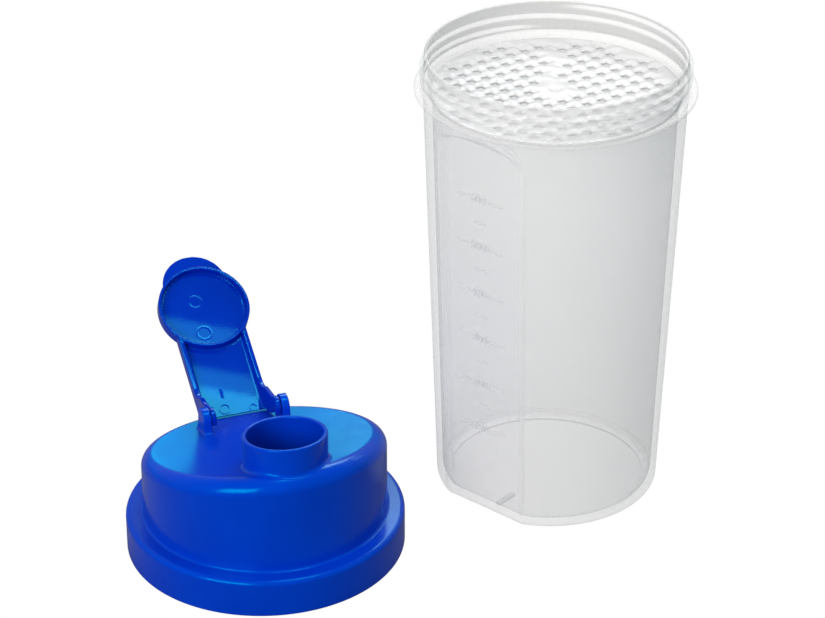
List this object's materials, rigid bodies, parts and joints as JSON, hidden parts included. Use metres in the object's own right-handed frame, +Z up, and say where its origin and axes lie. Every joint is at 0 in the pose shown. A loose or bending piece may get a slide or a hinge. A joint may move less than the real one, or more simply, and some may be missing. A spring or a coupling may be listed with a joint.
{
  "type": "protein shaker bottle",
  "caption": "Tapered shaker cup with a flat scale panel, threaded neck and lift-out strainer, and a screw lid whose hinged flip cap shuts the drinking spout.",
  "frame": {"origin": "centre of the cup's base, on the surface that the bottle and its lid stand on", "axes": "+Z up along the cup's axis, out of its mouth; the lid stands on the -X, -Y side"},
  "size_m": [0.1991, 0.1433, 0.168],
  "materials": {
    "cup_plastic": "frosted translucent",
    "strainer_plastic": "translucent white",
    "lid_plastic": "satin",
    "cap_plastic": "satin"
  },
  "bodies": {
    "cup_body": {"cup": "cup_plastic"},
    "strainer_body": {"strainer": "strainer_plastic"},
    "lid_body": {"lid": "lid_plastic"},
    "cap_body": {"flip_cap": "cap_plastic"}
  },
  "joints": [
    {"name": "strainer_lift", "type": "slide", "parent": "cup_body", "child": "strainer_body", "axis": [0, 0, 1], "range_m": [0, 0.06]},
    {"name": "lid_lift", "type": "slide", "parent": "cup_body", "child": "lid_body", "axis": [0, 0, 1], "range_m": [0, 0.06]},
    {"name": "cap_hinge", "type": "hinge", "parent": "lid_body", "child": "cap_body", "pos_m": [-0.10897, -0.02369, 0.0392], "axis": [-0.9397, -0.342, 0], "range_deg": [-141, 0]}
  ]
}
